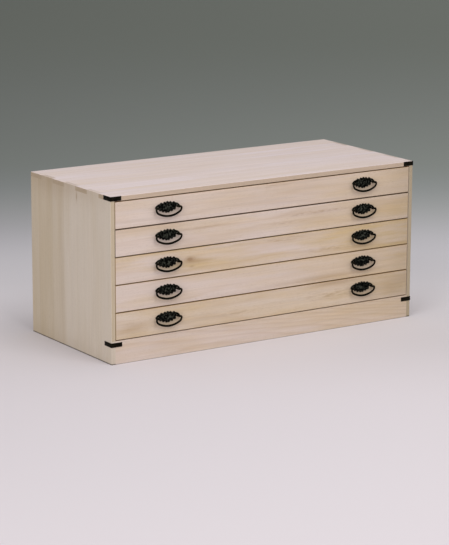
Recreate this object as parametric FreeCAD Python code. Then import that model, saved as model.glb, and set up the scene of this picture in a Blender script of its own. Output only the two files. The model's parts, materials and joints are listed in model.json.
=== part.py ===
"""Small chest of five full-width drawers in pale paulownia, with black iron fittings.

Frame: millimetres, +Z up, the drawers open towards -Y, +X is to the viewer's right.
The origin is the middle of the whole chest's footprint, on the floor.

The casing is a box of glued boards.  The top is box-jointed to the two sides, the shelves
and the bottom board are housed in grooves, and the back panel lies in a rebate and is
pegged.  Each drawer is a front with half-blind joints, two sides, a back and a bottom that
it runs on.  The drawer fronts hide the shelf edges and close against them.  Every drawer
has two drop handles: a pierced plate, two split posts with eyes, and a bail whose pins
turn in the eyes.
"""
import FreeCAD
import Part
import math
import os

V = FreeCAD.Vector

# ---- overall size, fittings included ---------------------------------------------
OVERALL_WIDTH = 990.0
OVERALL_DEPTH = 440.0
HEIGHT = 450.0

# ---- casing boards -----------------------------------------------------------------
SIDE_THICKNESS = 12.0
TOP_THICKNESS = 12.5
BOTTOM_THICKNESS = 13.0
SHELF_THICKNESS = 8.0
BACK_THICKNESS = 7.0
PLINTH_HEIGHT = 63.0
PLINTH_THICKNESS = 18.0
REAR_RAIL_THICKNESS = 12.0
STOP_STRIP_DEPTH = 30.0      # front to back, of the strip that the top drawer closes on
HOUSING_DEPTH = 5.0          # how far shelves and bottom board enter the sides
BACK_REBATE = 6.0            # how far the back panel laps onto sides and top
TOP_JOINT_FINGERS = 7        # fingers across the depth where the top meets a side
ARRIS = 0.8                  # chamfer that breaks the outer edges

# ---- back panel pegs, four-sided and tapered ---------------------------------------
PEG_WIDTH = 3.2
PEG_TIP_WIDTH = 2.4
PEG_LENGTH = 20.0
PEG_EDGE = 3.0               # peg centres in from the panel's edge
PEG_CORNER = 35.0            # first and last peg of a row, from the panel's corner
SIDE_PEG_COUNT = 3           # pegs up each side
LEVEL_PEG_COUNT = 4          # pegs along the top, and along the bottom

# ---- drawers -----------------------------------------------------------------------
DRAWER_COUNT = 5
FRONT_GAP = 2.6              # between two fronts, and above and below the stack
SIDE_GAP = 1.5               # between a drawer and the casing's side
RUNNING_GAP = 0.3            # between a drawer's bottom and the shelf it runs on
TOP_CLEARANCE = 2.0          # between a drawer's sides and the shelf above
STOP_GAP = 0.3               # between a closed front and the shelf edge that stops it
REAR_CLEARANCE = 6.0         # behind a closed drawer
FRONT_THICKNESS = 18.0
FRONT_LAP = 7.0              # wood left in front of the half-blind joints
DRAWER_SIDE_THICKNESS = 9.0
DRAWER_BACK_THICKNESS = 8.0
DRAWER_BACK_DROP = 3.0       # how much lower the back stands than the sides
DRAWER_BOTTOM_THICKNESS = 6.0
DRAWER_JOINT_FINGERS = 3

# ---- corner brackets and their nails ---------------------------------------------------
BRACKET_THICKNESS = 1.0
BRACKET_HEIGHT = 12.0
BRACKET_FRONT_LEG = 32.0
BRACKET_SIDE_LEG = 35.0
BRACKET_DROP = 4.0           # from the plinth's top edge down to the lower brackets
BRACKET_BEND = 0.9           # outer radius of the bent corner
NAIL_HEAD_WIDTH = 3.4
NAIL_HEAD_TOP_WIDTH = 1.6
NAIL_HEAD_HEIGHT = 0.8
NAIL_WIDTH = 1.4             # square shank
NAIL_LENGTH = 6.0            # from under the head
NAIL_FIT = 0.05              # on each side, in strap and wood
NAILS_IN_FRONT_LEG = (6.0, 25.0)     # from the casing's corner
NAILS_IN_SIDE_LEG = (12.0, 28.0)

# ---- drop handles ------------------------------------------------------------------
HANDLE_INSET = 173.0         # handle centre from the outside of the casing
PIVOT_RISE = 6.2             # bail pivot above the middle of the front
PIVOT_STANDOFF = 9.0         # bail pivot in front of the wood
POST_SPACING = 66.0
EYE_RADIUS = 3.0
EYE_WIDTH = 4.0
EYE_CLEARANCE = 0.08         # from the pin's corners to the bore's flats
SHANK_WIDTH = 3.0            # square shank of two flat legs
SHANK_CLEARANCE = 0.2        # on each side, in plate and wood
COLLAR_WIDTH = 7.6
COLLAR_THICKNESS = 1.0
LEG_LENGTH = 11.0            # split leg bent over behind the front
BAIL_HALF_WIDTH = 38.7       # centreline, at the shoulders
BAIL_DROP = 22.0             # centreline, pivot to the lowest point
BAIL_ELBOW = 3.0             # bend between pin and shoulder
BAIL_SHOULDER = 12.0         # radius of the bow's tighter ends
BAIL_RADIUS = 2.5            # over the corners of the six-sided bar
BAIL_PIN_RADIUS = 1.6
BAIL_PIN_REACH = 0.6         # pin end past the inner face of the eye
BAIL_SIDES = 6
ELBOW_STEPS = 2              # straight facets round each elbow,
SHOULDER_STEPS = 3           # round each end of the bow
MIDDLE_STEPS = 6             # and along its middle
PLATE_THICKNESS = 1.5
PLATE_HALF_WIDTH = 38.2      # outside of the arched rim
PLATE_RIM_HEIGHT = 12.6      # top of the arched rim above the pivot
PLATE_RIM_FOOT = 4.6         # width of the rim where it meets the arms
PLATE_BAR = 3.2              # width of the rim at its top, and of the arms
LENS_HALF_WIDTH = 27.0       # the plate's middle, between its two points
LENS_RISE = 12.8             # its upper arc above the pivot
LENS_FALL = 11.8             # its lower arc below the pivot
RELIEF_INSET = 5.0           # from the lens to its raised middle, at the points
RELIEF_SCALE = 0.65          # height of the raised middle against the lens
RELIEF_HEIGHT = 1.3
BOSS_WIDTH = 10.0
BOSS_TOP_WIDTH = 5.6
BOSS_HEIGHT = 1.4
ROUND_SIDES = 10             # flats that a small round of the ironwork is filed to,
ARC_STEPS = 8                # and flats along each long arc of the plate

# Scallops on the lens's edge: share of its half width, distance outside its arc, radius.
UPPER_LOBES = ((0.0, -0.6, 4.2), (0.28, -1.1, 3.8), (0.70, 1.6, 4.2))
LOWER_LOBES = ((0.126, -0.8, 3.8), (0.467, -1.4, 3.7), (0.77, 0.0, 3.8))

# ---- worked out from the sizes above -----------------------------------------------
HANDLE_PROJECTION = PIVOT_STANDOFF + EYE_RADIUS
HALF_WIDTH = OVERALL_WIDTH / 2 - BRACKET_THICKNESS - NAIL_HEAD_HEIGHT
FRONT_Y = -OVERALL_DEPTH / 2 + HANDLE_PROJECTION
BACK_Y = OVERALL_DEPTH / 2
INNER_X = HALF_WIDTH - SIDE_THICKNESS
UNDER_TOP = HEIGHT - TOP_THICKNESS
OPENING_HEIGHT = UNDER_TOP - PLINTH_HEIGHT
FRONT_HEIGHT = (OPENING_HEIGHT - (DRAWER_COUNT + 1) * FRONT_GAP) / DRAWER_COUNT
DRAWER_PITCH = FRONT_HEIGHT + FRONT_GAP
SHELF_FRONT_Y = FRONT_Y + FRONT_THICKNESS + STOP_GAP
BACK_PANEL_Y = BACK_Y - BACK_THICKNESS
BOTTOM_UNDERSIDE = PLINTH_HEIGHT - BOTTOM_THICKNESS
PANEL_HALF_WIDTH = INNER_X + BACK_REBATE
PANEL_TOP = UNDER_TOP + BACK_REBATE
DRAWER_HALF_WIDTH = INNER_X - SIDE_GAP
FRONT_BACK_Y = FRONT_Y + FRONT_THICKNESS
JOINT_Y = FRONT_Y + FRONT_LAP
DRAWER_END_Y = BACK_PANEL_Y - REAR_CLEARANCE
HANDLE_X = HALF_WIDTH - HANDLE_INSET
PIVOT_Y = FRONT_Y - PIVOT_STANDOFF
POST_X = POST_SPACING / 2
EYE_BORE = 2 * (BAIL_PIN_RADIUS + EYE_CLEARANCE)
SHANK_HOLE = SHANK_WIDTH + 2 * SHANK_CLEARANCE
LEG_THICKNESS = SHANK_WIDTH / 2

INTO_WOOD = V(0, 1, 0)


def block(x0, x1, y0, y1, z0, z1):
    """A board between two opposite corners."""
    return Part.makeBox(x1 - x0, y1 - y0, z1 - z0, V(x0, y0, z0))


def flat_face(corners):
    """The flat face inside a ring of corners."""
    return Part.Face(Part.makePolygon(corners + corners[:1]))


def skinned(sections):
    """A solid with flat faces from section to section; each is a ring of as many corners."""
    faces = [flat_face(sections[0]), flat_face(sections[-1])]
    for near, far in zip(sections, sections[1:]):
        faces += [flat_face([near[i - 1], near[i], far[i], far[i - 1]]) for i in range(len(near))]
    shell = Part.makeShell(faces)
    shell.sewShape()
    solid = Part.makeSolid(shell)
    if solid.Volume < 0:
        solid.reverse()
    return solid


def ring(sides, across, z):
    """Corners of a level regular polygon round the Z axis, `across` from flat to flat."""
    radius = across / 2 / math.cos(math.pi / sides)
    turns = [2 * math.pi * (i + 0.5) / sides for i in range(sides)]
    return [V(radius * math.cos(turn), radius * math.sin(turn), z) for turn in turns]


def bar(sides, across, start, way, length, end_across=None):
    """A flat-sided bar from a start point, which may taper to another size."""
    shape = skinned([ring(sides, across, 0), ring(sides, end_across or across, length)])
    shape.Placement = FreeCAD.Placement(start, FreeCAD.Rotation(V(0, 0, 1), way))
    return shape


def export(name, shape):
    """Writes one sub-part to its own STEP file."""
    shape.exportStep(os.path.join("parts", name + ".step"))


def mirrored(shape):
    """The same piece for the other hand, across the chest's middle."""
    return shape.mirror(V(0, 0, 0), V(1, 0, 0))


def evenly(count, start, end):
    """Evenly spaced places from start to end, both included."""
    return [start + (end - start) * i / (count - 1) for i in range(count)]


def shelf_top(row):
    """Height of the surface that drawer `row` runs on; row 1 is the top drawer."""
    return PLINTH_HEIGHT + (DRAWER_COUNT - row) * DRAWER_PITCH


# ---- casing ------------------------------------------------------------------------
def casing_envelope():
    """The casing's outer block, with its long outer edges broken."""
    outer = block(-HALF_WIDTH, HALF_WIDTH, FRONT_Y, BACK_Y, 0, HEIGHT)
    edges = [e for e in outer.Edges if e.BoundBox.ZMax > HEIGHT / 2]
    return outer.makeChamfer(ARRIS, edges)


def finger_bands(count, start, end):
    """Equal bands of a box joint, as (low, high) pairs."""
    step = (end - start) / count
    return [(start + i * step, start + (i + 1) * step) for i in range(count)]


def top_corner_blocks(owner):
    """Blocks where top and left side cross: the first band, at the front, is the top's."""
    first = 0 if owner == "top" else 1
    bands = finger_bands(TOP_JOINT_FINGERS, FRONT_Y, BACK_Y)
    return [block(-HALF_WIDTH, -INNER_X, y0, y1, UNDER_TOP, HEIGHT) for y0, y1 in bands[first::2]]


def back_panel_block():
    """The space that the back panel fills; it is also the rebate in sides and top."""
    half = PANEL_HALF_WIDTH
    return block(-half, half, BACK_PANEL_Y, BACK_Y, BOTTOM_UNDERSIDE, PANEL_TOP)


def shelf_block(row):
    """A shelf with its housed ends; the same block cuts its grooves."""
    reach = INNER_X + HOUSING_DEPTH
    top = shelf_top(row)
    return block(-reach, reach, SHELF_FRONT_Y, BACK_PANEL_Y, top - SHELF_THICKNESS, top)


def bottom_block():
    """The bottom board, housed like a shelf and stopped behind the plinth board."""
    reach = INNER_X + HOUSING_DEPTH
    front = FRONT_Y + PLINTH_THICKNESS
    return block(-reach, reach, front, BACK_PANEL_Y, BOTTOM_UNDERSIDE, PLINTH_HEIGHT)


def peg_places():
    """Pegs round the back panel's edge, as (x, z), left ones and right ones."""
    low = BOTTOM_UNDERSIDE + PEG_EDGE
    high = PANEL_TOP - PEG_EDGE
    places = [
        (side * (PANEL_HALF_WIDTH - PEG_EDGE), z)
        for side in (-1, 1)
        for z in evenly(SIDE_PEG_COUNT, BOTTOM_UNDERSIDE + PEG_CORNER, PANEL_TOP - PEG_CORNER)
    ]
    reach = PANEL_HALF_WIDTH - PEG_CORNER
    places += [(x, z) for z in (low, high) for x in evenly(LEVEL_PEG_COUNT, -reach, reach)]
    return places


def pegs():
    """Tapered wooden pegs, driven from behind through the panel; they also cut their holes."""
    return [
        bar(4, PEG_WIDTH, V(x, BACK_Y, z), V(0, -1, 0), PEG_LENGTH, PEG_TIP_WIDTH)
        for x, z in peg_places()
    ]


def side_board():
    """The left side: standing boards that reach the floor, with fingers at the top."""
    board = block(-HALF_WIDTH, -INNER_X, FRONT_Y, BACK_Y, 0, HEIGHT)
    cutters = top_corner_blocks("top") + [back_panel_block(), bottom_block()]
    cutters += [shelf_block(row) for row in range(1, DRAWER_COUNT)]
    return board.common(casing_envelope()).cut(cutters + pegs() + all_nail_holes())


def top_board():
    """The top, notched at both ends for the sides' fingers."""
    board = block(-HALF_WIDTH, HALF_WIDTH, FRONT_Y, BACK_Y, UNDER_TOP, HEIGHT)
    notches = top_corner_blocks("side")
    notches += [mirrored(notch) for notch in notches]
    cutters = notches + [back_panel_block()] + pegs() + all_nail_holes()
    return board.common(casing_envelope()).cut(cutters)


def stop_strip():
    """The strip under the top that the top drawer's front closes against."""
    return block(
        -INNER_X, INNER_X, SHELF_FRONT_Y, SHELF_FRONT_Y + STOP_STRIP_DEPTH,
        UNDER_TOP - SHELF_THICKNESS, UNDER_TOP,
    )


def plinth_board():
    """The front board under the drawers, between the sides and down to the floor."""
    board = block(-INNER_X, INNER_X, FRONT_Y, FRONT_Y + PLINTH_THICKNESS, 0, PLINTH_HEIGHT)
    upper_edge = [
        e for e in board.Edges
        if e.BoundBox.YMax < FRONT_Y + PLINTH_THICKNESS / 2 and e.BoundBox.ZMin > PLINTH_HEIGHT / 2
    ]
    return board.makeChamfer(ARRIS, upper_edge).cut(all_nail_holes())


def rear_rail():
    """The rail that carries the bottom board's back edge."""
    return block(-INNER_X, INNER_X, BACK_Y - REAR_RAIL_THICKNESS, BACK_Y, 0, BOTTOM_UNDERSIDE)


# ---- corner brackets ---------------------------------------------------------------
def bracket_levels():
    """Heights of the lower edge of the upper and of the lower brackets."""
    return [HEIGHT - BRACKET_HEIGHT, PLINTH_HEIGHT - BRACKET_DROP - BRACKET_HEIGHT]


def corner_strap(z0):
    """A bent iron strap round the front left corner, its lower edge at z0."""
    corner_x = -HALF_WIDTH
    out_x = corner_x - BRACKET_THICKNESS
    out_y = FRONT_Y - BRACKET_THICKNESS
    points = [
        V(out_x, out_y, z0),
        V(corner_x + BRACKET_FRONT_LEG, out_y, z0),
        V(corner_x + BRACKET_FRONT_LEG, FRONT_Y, z0),
        V(corner_x, FRONT_Y, z0),
        V(corner_x, FRONT_Y + BRACKET_SIDE_LEG, z0),
        V(out_x, FRONT_Y + BRACKET_SIDE_LEG, z0),
    ]
    strap = flat_face(points).extrude(V(0, 0, BRACKET_HEIGHT))
    outer_corner = min(strap.Edges, key=lambda edge: edge.CenterOfMass.x + edge.CenterOfMass.y)
    return strap.makeFillet(BRACKET_BEND, [outer_corner]).cut(nail_holes(z0))


def nail_seats(z0):
    """Where the nails of one left bracket start, on its outside, and which way they go."""
    z = z0 + BRACKET_HEIGHT / 2
    front = [
        (V(-HALF_WIDTH + run, FRONT_Y - BRACKET_THICKNESS, z), V(0, 1, 0))
        for run in NAILS_IN_FRONT_LEG
    ]
    side = [
        (V(-HALF_WIDTH - BRACKET_THICKNESS, FRONT_Y + run, z), V(1, 0, 0))
        for run in NAILS_IN_SIDE_LEG
    ]
    return front + side


def nail(seat, inward):
    """A hand-made nail, seated on the strap: a low square head, a square shank."""
    outward = inward * -1
    head = bar(4, NAIL_HEAD_WIDTH, seat, outward, NAIL_HEAD_HEIGHT, NAIL_HEAD_TOP_WIDTH)
    return head.fuse(bar(4, NAIL_WIDTH, seat, inward, NAIL_LENGTH)).removeSplitter()


def nail_holes(z0):
    """The holes of one left bracket's nails, through strap and wood."""
    width = NAIL_WIDTH + 2 * NAIL_FIT
    return [bar(4, width, seat, way, NAIL_LENGTH + NAIL_FIT) for seat, way in nail_seats(z0)]


def all_nail_holes():
    """The nail holes of all four brackets."""
    holes = [hole for z0 in bracket_levels() for hole in nail_holes(z0)]
    return holes + [mirrored(hole) for hole in holes]


# ---- drawers -----------------------------------------------------------------------
def drawer_levels(row):
    """Heights of one drawer: its bottom's underside and top, its sides' top, its front."""
    shelf = shelf_top(row)
    under = shelf + RUNNING_GAP
    floor = under + DRAWER_BOTTOM_THICKNESS
    rim = shelf + DRAWER_PITCH - SHELF_THICKNESS - TOP_CLEARANCE
    front_low = shelf + FRONT_GAP
    return under, floor, rim, front_low, front_low + FRONT_HEIGHT


def front_joint_tongues(row):
    """The left side's tongues, half-blind in the front; they also cut its sockets."""
    _, floor, rim, _, _ = drawer_levels(row)
    bands = finger_bands(DRAWER_JOINT_FINGERS, floor, rim)
    inside = -DRAWER_HALF_WIDTH + DRAWER_SIDE_THICKNESS
    return [
        block(-DRAWER_HALF_WIDTH, inside, JOINT_Y, FRONT_BACK_Y, z0, z1)
        for z0, z1 in bands[::2]
    ]


def back_joint_tongues(row):
    """The back's tongues, which show on the left side of the drawer."""
    _, floor, rim, _, _ = drawer_levels(row)
    bands = finger_bands(DRAWER_JOINT_FINGERS, floor, rim)
    inside = -DRAWER_HALF_WIDTH + DRAWER_SIDE_THICKNESS
    start = DRAWER_END_Y - DRAWER_BACK_THICKNESS
    return [
        block(-DRAWER_HALF_WIDTH, inside, start, DRAWER_END_Y, z0, z1)
        for z0, z1 in bands[1::2]
    ]


def drawer_front(row):
    """The front, chamfered on its face, with its joints and the holes for the posts."""
    under, floor, _, low, high = drawer_levels(row)
    half = DRAWER_HALF_WIDTH
    board = block(-half, half, FRONT_Y, FRONT_BACK_Y, low, high)
    face_edges = [e for e in board.Edges if e.BoundBox.YMax < FRONT_Y + FRONT_THICKNESS / 2]
    board = board.makeChamfer(ARRIS, face_edges)
    sockets = front_joint_tongues(row)
    sockets += [mirrored(socket) for socket in sockets]
    rebate = block(-half, half, JOINT_Y, FRONT_BACK_Y, under, floor)
    holes = [
        bar(4, SHANK_HOLE, V(x, FRONT_Y, pivot_height(row)), INTO_WOOD, FRONT_THICKNESS)
        for x in post_positions()
    ]
    return board.cut(sockets + [rebate] + holes)


def drawer_side(row):
    """The left side, with tongues into the front and notches for the back's tongues."""
    _, floor, rim, _, _ = drawer_levels(row)
    outer = -DRAWER_HALF_WIDTH
    inside = outer + DRAWER_SIDE_THICKNESS
    board = block(outer, inside, FRONT_BACK_Y, DRAWER_END_Y, floor, rim)
    return board.fuse(front_joint_tongues(row)).cut(back_joint_tongues(row)).removeSplitter()


def drawer_back(row):
    """The back between the sides, a little lower than they are, with its tongues."""
    _, floor, rim, _, _ = drawer_levels(row)
    inside = DRAWER_HALF_WIDTH - DRAWER_SIDE_THICKNESS
    start = DRAWER_END_Y - DRAWER_BACK_THICKNESS
    board = block(-inside, inside, start, DRAWER_END_Y, floor, rim - DRAWER_BACK_DROP)
    tongues = back_joint_tongues(row)
    tongues += [mirrored(tongue) for tongue in tongues]
    return board.fuse(tongues).removeSplitter()


def drawer_bottom(row):
    """The bottom that the drawer runs on, under sides and back and let into the front."""
    under, floor, _, _, _ = drawer_levels(row)
    half = DRAWER_HALF_WIDTH
    return block(-half, half, JOINT_Y, DRAWER_END_Y, under, floor)


# ---- drop handles ------------------------------------------------------------------
def pivot_height(row):
    """Height of the bail's pivot on a drawer."""
    _, _, _, low, high = drawer_levels(row)
    return (low + high) / 2 + PIVOT_RISE


def handle_positions():
    """Both handles of a drawer, left then right."""
    return [-HANDLE_X, HANDLE_X]


def post_positions():
    """All four posts of a drawer."""
    return [x + side * POST_X for x in handle_positions() for side in (-1, 1)]


def slab(points, depth, back_y):
    """An upright slab from the (x, z) points of its outline, its back face at back_y."""
    return flat_face([V(x, back_y, z) for x, z in points]).extrude(V(0, -depth, 0))


def arc_height(half_width, rise, x):
    """Height at x of the circular arc that stands on a chord and rises to `rise` over it."""
    radius = (half_width ** 2 + rise ** 2) / (2 * rise)
    return math.sqrt(radius ** 2 - x ** 2) - (radius - rise)


def lens(half_width, rise, fall, depth, back_y):
    """A pointed oval: one arc over the chord between its points, another under it."""
    across = evenly(ARC_STEPS + 1, -half_width, half_width)
    upper = [(x, arc_height(half_width, rise, x)) for x in across]
    lower = [(x, -arc_height(half_width, fall, x)) for x in reversed(across[1:-1])]
    return slab(upper + lower, depth, back_y)


def bow(half_width, rise):
    """What an arc rising over a chord encloses, as a slab of the plate's thickness."""
    across = evenly(ARC_STEPS + 1, -half_width, half_width)
    return slab([(x, arc_height(half_width, rise, x)) for x in across], PLATE_THICKNESS, 0)


def plate_lobes():
    """The scallops round the lens, as discs of the plate's thickness."""
    discs = []
    for lobes, height, way in ((UPPER_LOBES, LENS_RISE, 1), (LOWER_LOBES, LENS_FALL, -1)):
        for share, outset, radius in lobes:
            x = share * LENS_HALF_WIDTH
            z = way * (arc_height(LENS_HALF_WIDTH, height, x) + outset)
            for side in (-1, 1) if x else (1,):
                at = V(side * x, -PLATE_THICKNESS, z)
                discs.append(bar(ROUND_SIDES, 2 * radius, at, INTO_WOOD, PLATE_THICKNESS))
    return discs


def handle_plate():
    """The pierced plate, centred on the pivot, its back on the plane y = 0."""
    face_y = -PLATE_THICKNESS
    rim = bow(PLATE_HALF_WIDTH, PLATE_RIM_HEIGHT)
    rim = rim.cut(bow(PLATE_HALF_WIDTH - PLATE_RIM_FOOT, PLATE_RIM_HEIGHT - PLATE_BAR))
    pieces = [block(-POST_X, POST_X, face_y, 0, -PLATE_BAR / 2, PLATE_BAR / 2)]
    pieces.append(lens(LENS_HALF_WIDTH, LENS_RISE, LENS_FALL, PLATE_THICKNESS, 0))
    pieces += plate_lobes()
    posts = [V(side * POST_X, face_y, 0) for side in (-1, 1)]
    pieces += [bar(6, COLLAR_WIDTH, at, INTO_WOOD, PLATE_THICKNESS) for at in posts]
    relief = lens(
        LENS_HALF_WIDTH - RELIEF_INSET, RELIEF_SCALE * LENS_RISE, RELIEF_SCALE * LENS_FALL,
        RELIEF_HEIGHT, face_y,
    )
    boss_at = V(0, face_y - RELIEF_HEIGHT, 0)
    boss = bar(6, BOSS_WIDTH, boss_at, INTO_WOOD * -1, BOSS_HEIGHT, BOSS_TOP_WIDTH)
    holes = [bar(4, SHANK_HOLE, at, INTO_WOOD, PLATE_THICKNESS) for at in posts]
    return rim.fuse(pieces + [relief, boss]).cut(holes).removeSplitter()


def split_post():
    """A post: an eye on the pivot axis, a collar, and two legs bent over behind the wood."""
    inner_face = PIVOT_STANDOFF + FRONT_THICKNESS
    half = SHANK_WIDTH / 2
    collar_y = PIVOT_STANDOFF - PLATE_THICKNESS - COLLAR_THICKNESS
    eye = bar(8, 2 * EYE_RADIUS, V(-EYE_WIDTH / 2, 0, 0), V(1, 0, 0), EYE_WIDTH)
    collar = bar(6, COLLAR_WIDTH, V(0, collar_y, 0), INTO_WOOD, COLLAR_THICKNESS)
    shank = bar(4, SHANK_WIDTH, V(0, 0, 0), INTO_WOOD, inner_face + LEG_THICKNESS)
    legs = block(
        -half, half, inner_face, inner_face + LEG_THICKNESS, -LEG_LENGTH, LEG_LENGTH
    )
    bore = bar(ROUND_SIDES, EYE_BORE, V(-EYE_WIDTH, 0, 0), V(1, 0, 0), 2 * EYE_WIDTH)
    return eye.fuse([shank, collar, legs]).cut(bore).removeSplitter()


def bail_section(x, z, lean, radius):
    """The bar's section at a point of the bow, in the plane that leans `lean` up from +X."""
    corners = []
    for i in range(BAIL_SIDES):
        turn = 2 * math.pi * (i + 0.5) / BAIL_SIDES
        out = radius * math.cos(turn)
        corners.append(V(x + out * math.cos(lean), radius * math.sin(turn), z + out * math.sin(lean)))
    return corners


def bail_path():
    """Places along the right half of a bail, from its pin to its lowest point.

    Each is (x, z, lean): the centre, and the way from the arc's centre out to it.  The bow
    is three arcs that meet without a corner, so its middle's radius follows from the rest.
    """
    elbow_x = BAIL_HALF_WIDTH - BAIL_ELBOW
    shoulder_x = BAIL_HALF_WIDTH - BAIL_SHOULDER
    bow = BAIL_DROP - BAIL_ELBOW
    middle = (shoulder_x ** 2 + bow ** 2 - BAIL_SHOULDER ** 2) / (2 * (bow - BAIL_SHOULDER))
    meeting = -math.atan2(middle - bow, shoulder_x)
    arcs = [
        (elbow_x, -BAIL_ELBOW, BAIL_ELBOW, math.pi / 2, 0, ELBOW_STEPS),
        (shoulder_x, -BAIL_ELBOW, BAIL_SHOULDER, 0, meeting, SHOULDER_STEPS),
        (0, middle - BAIL_DROP, middle, meeting, -math.pi / 2, MIDDLE_STEPS // 2),
    ]
    places = [(elbow_x, 0, math.pi / 2)]
    for x, z, radius, start, end, steps in arcs:
        for lean in evenly(steps + 1, start, end)[1:]:
            places.append((x + radius * math.cos(lean), z + radius * math.sin(lean), lean))
    return places


def bail():
    """The drop bail, hanging from the pivot axis: a bow between two pins turned inwards."""
    pin_start = POST_X - EYE_WIDTH / 2 - BAIL_PIN_REACH
    pin_end = POST_X + EYE_WIDTH / 2
    half = [bail_section(x, 0, math.pi / 2, BAIL_PIN_RADIUS) for x in (pin_start, pin_end)]
    half += [bail_section(*place, BAIL_RADIUS) for place in bail_path()]
    other = [[V(-at.x, at.y, at.z) for at in section] for section in reversed(half[:-1])]
    return skinned(half + other)


def at_handles(piece, row, y, offsets=(0,)):
    """Copies of one handle piece at both handles of a drawer, as separate solids."""
    copies = []
    for x in handle_positions():
        for offset in offsets:
            copy = piece.copy()
            copy.translate(V(x + offset, y, pivot_height(row)))
            copies.append(copy)
    return Part.Compound(copies)


# ---- build -------------------------------------------------------------------------
def build_casing():
    export("top_board", top_board())
    left = side_board()
    export("side_board_left", left)
    export("side_board_right", mirrored(left))
    export("bottom_board", bottom_block().cut(pegs()))
    for row in range(1, DRAWER_COUNT):
        export(f"shelf_board_{row}", shelf_block(row))
    export("top_drawer_stop_strip", stop_strip())
    export("back_panel", back_panel_block().cut(pegs()))
    export("back_panel_pegs", Part.Compound(pegs()))
    export("plinth_front_board", plinth_board())
    export("plinth_rear_rail", rear_rail())


def build_brackets():
    straps = [corner_strap(z0) for z0 in bracket_levels()]
    nails = [nail(*seat) for z0 in bracket_levels() for seat in nail_seats(z0)]
    export("corner_brackets", Part.Compound(straps + [mirrored(s) for s in straps]))
    export("bracket_nails", Part.Compound(nails + [mirrored(n) for n in nails]))


def build_drawer(row, plate, post, drop):
    name = f"drawer_{row}"
    export(f"{name}_front", drawer_front(row))
    side = drawer_side(row)
    export(f"{name}_side_left", side)
    export(f"{name}_side_right", mirrored(side))
    export(f"{name}_back", drawer_back(row))
    export(f"{name}_bottom", drawer_bottom(row))
    export(f"{name}_handle_plates", at_handles(plate, row, FRONT_Y))
    export(f"{name}_handle_posts", at_handles(post, row, PIVOT_Y, (-POST_X, POST_X)))
    for hand, x in zip(("left", "right"), handle_positions()):
        copy = drop.copy()
        copy.translate(V(x, PIVOT_Y, pivot_height(row)))
        export(f"{name}_bail_{hand}", copy)


def main():
    os.makedirs("parts", exist_ok=True)
    build_casing()
    build_brackets()
    plate, post, drop = handle_plate(), split_post(), bail()
    for row in range(1, DRAWER_COUNT + 1):
        build_drawer(row, plate, post, drop)


main()
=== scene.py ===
# %% [markdown]
# # Dressing a small chest of five drawers
#
# The chest is made of bare paulownia, a pale and very light wood, with black iron handles
# and corner straps.  Its boards and joints are already modelled in CAD.  This lesson gives
# the boards their wood, and makes the ironwork again with the smooth and worked shapes that
# a smith gives it.  Everything is in metres, Z is up, and the drawers open towards -Y.

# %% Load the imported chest
import bmesh
import bpy
import json
import numpy as np
from math import pi, radians
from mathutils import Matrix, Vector


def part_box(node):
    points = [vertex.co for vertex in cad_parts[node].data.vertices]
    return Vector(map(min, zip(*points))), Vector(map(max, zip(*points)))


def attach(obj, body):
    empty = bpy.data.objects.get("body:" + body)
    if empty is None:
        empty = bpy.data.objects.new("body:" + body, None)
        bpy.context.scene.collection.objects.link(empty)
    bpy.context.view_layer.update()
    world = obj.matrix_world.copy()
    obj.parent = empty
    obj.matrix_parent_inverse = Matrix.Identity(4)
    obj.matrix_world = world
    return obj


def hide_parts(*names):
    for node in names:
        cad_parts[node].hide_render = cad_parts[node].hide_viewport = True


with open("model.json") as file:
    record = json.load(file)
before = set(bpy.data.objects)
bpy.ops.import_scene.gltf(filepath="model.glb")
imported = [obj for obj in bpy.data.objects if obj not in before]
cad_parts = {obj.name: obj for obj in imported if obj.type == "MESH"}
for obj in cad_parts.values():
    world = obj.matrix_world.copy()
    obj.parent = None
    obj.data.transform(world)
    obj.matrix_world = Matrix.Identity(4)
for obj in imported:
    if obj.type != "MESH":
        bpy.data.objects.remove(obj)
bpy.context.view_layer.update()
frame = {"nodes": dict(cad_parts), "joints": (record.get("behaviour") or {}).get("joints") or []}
DRAWERS = range(1, 6)
HANDS = ("left", "right")

# %% [markdown]
# ## The camera
#
# A long lens far away keeps the chest's edges nearly parallel.  The place and the turn of
# the camera were worked out from the chest's own corners, so it needs no shift.

# %% Place the camera
CAMERA_PLACE = (-3.4451, -5.2247, 1.5973)
CAMERA_TURN = (76.965, -0.21, -33.332)            # degrees
LENS = 151.53                                     # millimetres
SENSOR = 36.0                                     # over the long side


def new_camera():
    """A camera with that place, turn and lens, sharp from end to end."""
    data = bpy.data.cameras.new("camera")
    data.lens = LENS
    data.sensor_width = SENSOR
    data.clip_start = 0.1
    data.clip_end = 100.0
    camera = bpy.data.objects.new("camera", data)
    camera.location = CAMERA_PLACE
    camera.rotation_euler = [radians(turn) for turn in CAMERA_TURN]
    bpy.context.scene.collection.objects.link(camera)
    return camera


camera = new_camera()
bpy.context.scene.camera = camera
print("camera at", tuple(camera.location))

# %% [markdown]
# ## Nodes in few words
#
# Materials are built from many small nodes.  A few helpers keep that readable: each adds
# one node to a material's tree and returns the socket that the next node reads.

# %% Helpers that add nodes
def node(tree, kind, values=(), **settings):
    """Adds a node; `values` maps its inputs to numbers, colours or other nodes' outputs."""
    made = tree.nodes.new("ShaderNode" + kind)
    for name, value in settings.items():
        setattr(made, name, value)
    for socket, value in dict(values).items():
        if isinstance(value, bpy.types.NodeSocket):
            tree.links.new(value, made.inputs[socket])
        else:
            made.inputs[socket].default_value = value
    return made


def maths(tree, operation, *values):
    """One arithmetic step."""
    return node(tree, "Math", enumerate(values), operation=operation).outputs[0]


def mixed(tree, share, first, second, how="MIX"):
    """Two colours mixed by a share from 0 to 1."""
    values = {0: share, 6: first, 7: second}
    return node(tree, "Mix", values, data_type="RGBA", blend_type=how).outputs[2]


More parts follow.
